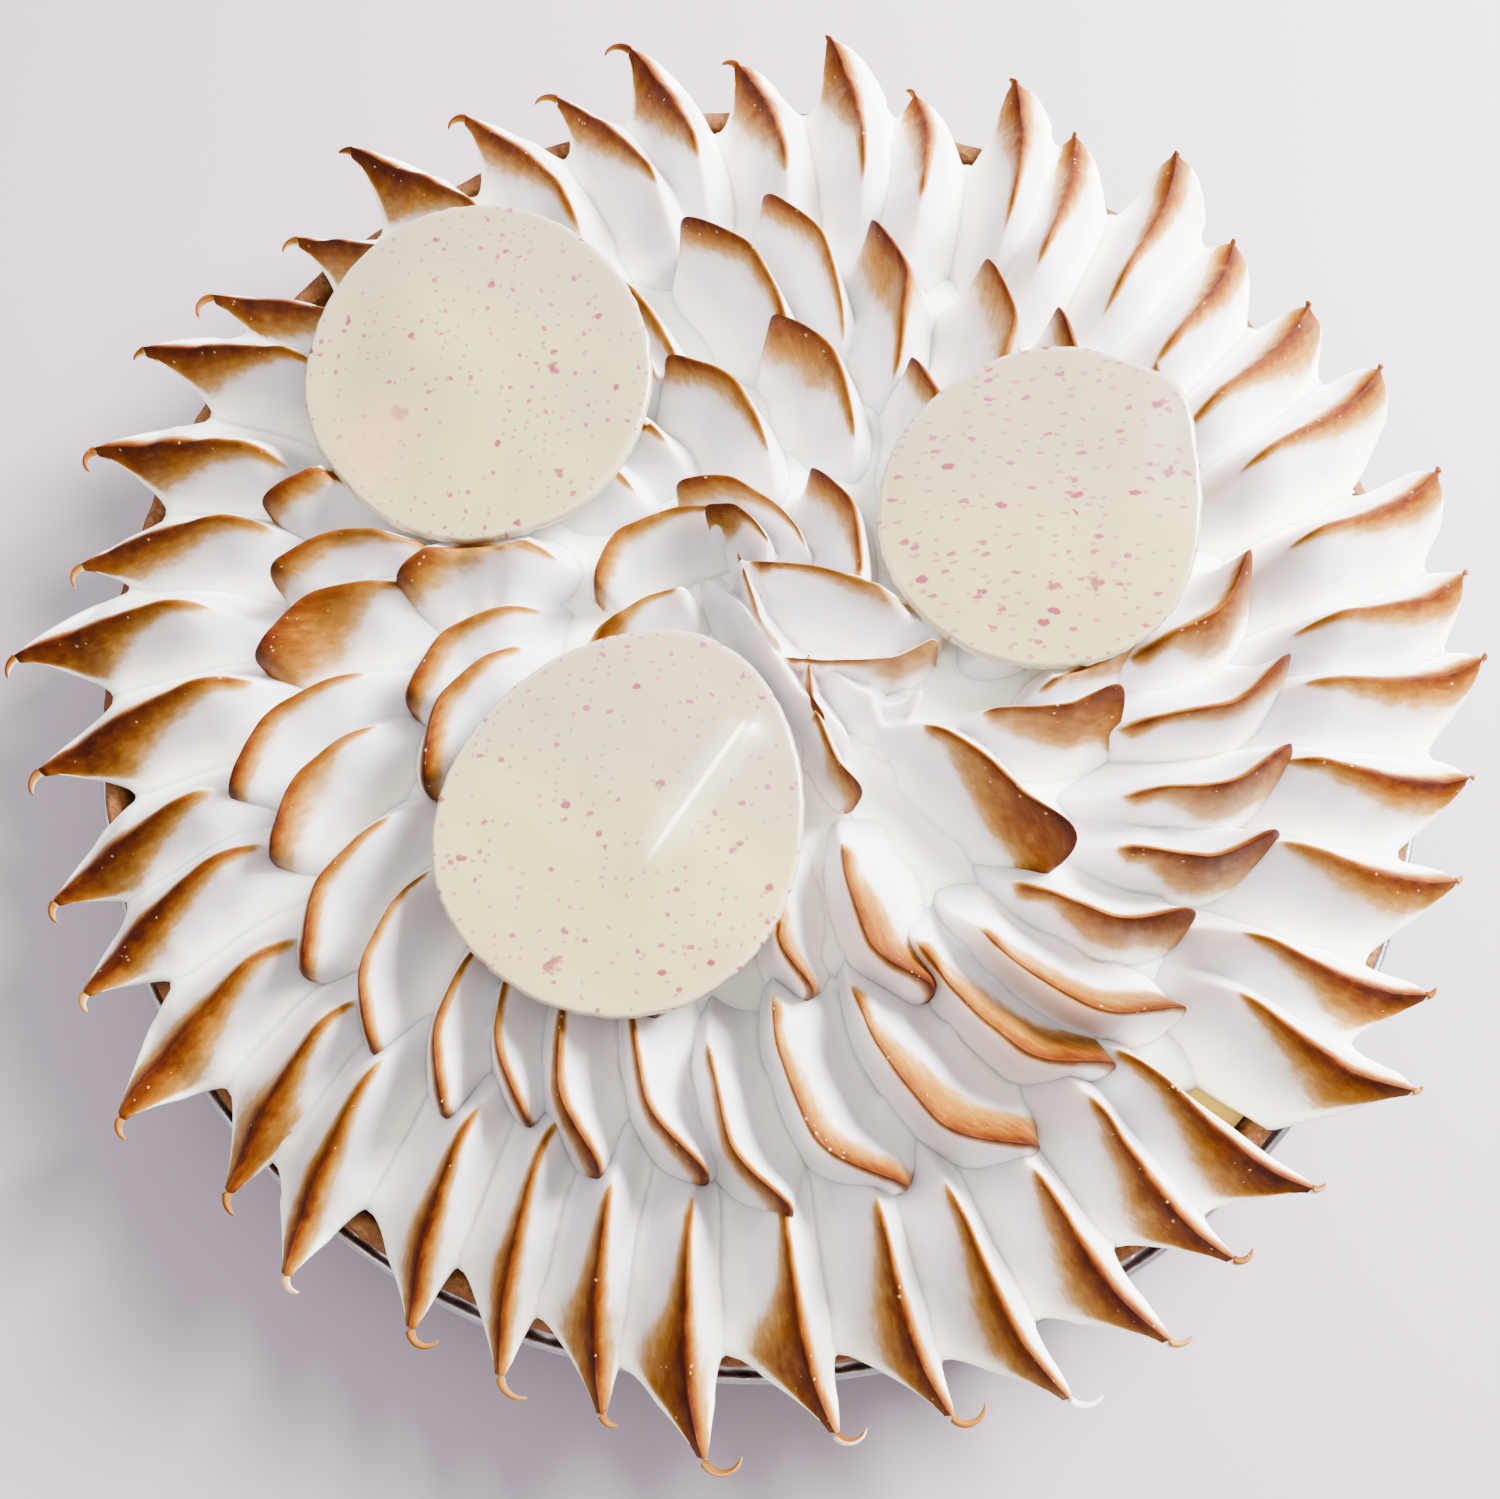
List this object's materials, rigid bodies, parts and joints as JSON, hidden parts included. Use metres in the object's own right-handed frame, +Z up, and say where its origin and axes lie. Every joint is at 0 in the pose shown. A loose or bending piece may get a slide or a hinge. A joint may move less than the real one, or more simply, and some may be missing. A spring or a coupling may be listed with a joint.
{
  "type": "lemon meringue tart",
  "caption": "Round lemon meringue tart in a foil tin, crowned with rings of piped toasted meringue petals and thin white chocolate ovals.",
  "frame": {"origin": "middle of the tin's underside, on the table", "axes": "+Z up through the tart's middle, +X to the right and +Y away from the viewer"},
  "size_m": [0.253, 0.2542, 0.0558],
  "materials": {
    "tin": "bright pleated foil",
    "crust": "baked golden brown pastry, stands in for food",
    "filling": "smooth glossy lemon curd, stands in for food",
    "meringue": "satin white meringue, toasted brown along the ridges, stands in for food",
    "chocolate": "cream white chocolate with raspberry specks, stands in for food"
  },
  "bodies": {
    "root": {"tin": "tin", "crust": "crust", "filling": "filling", "meringue": "meringue", "chocolate_oval_1": "chocolate", "chocolate_oval_2": "chocolate", "chocolate_oval_3": "chocolate"}
  },
  "joints": []
}
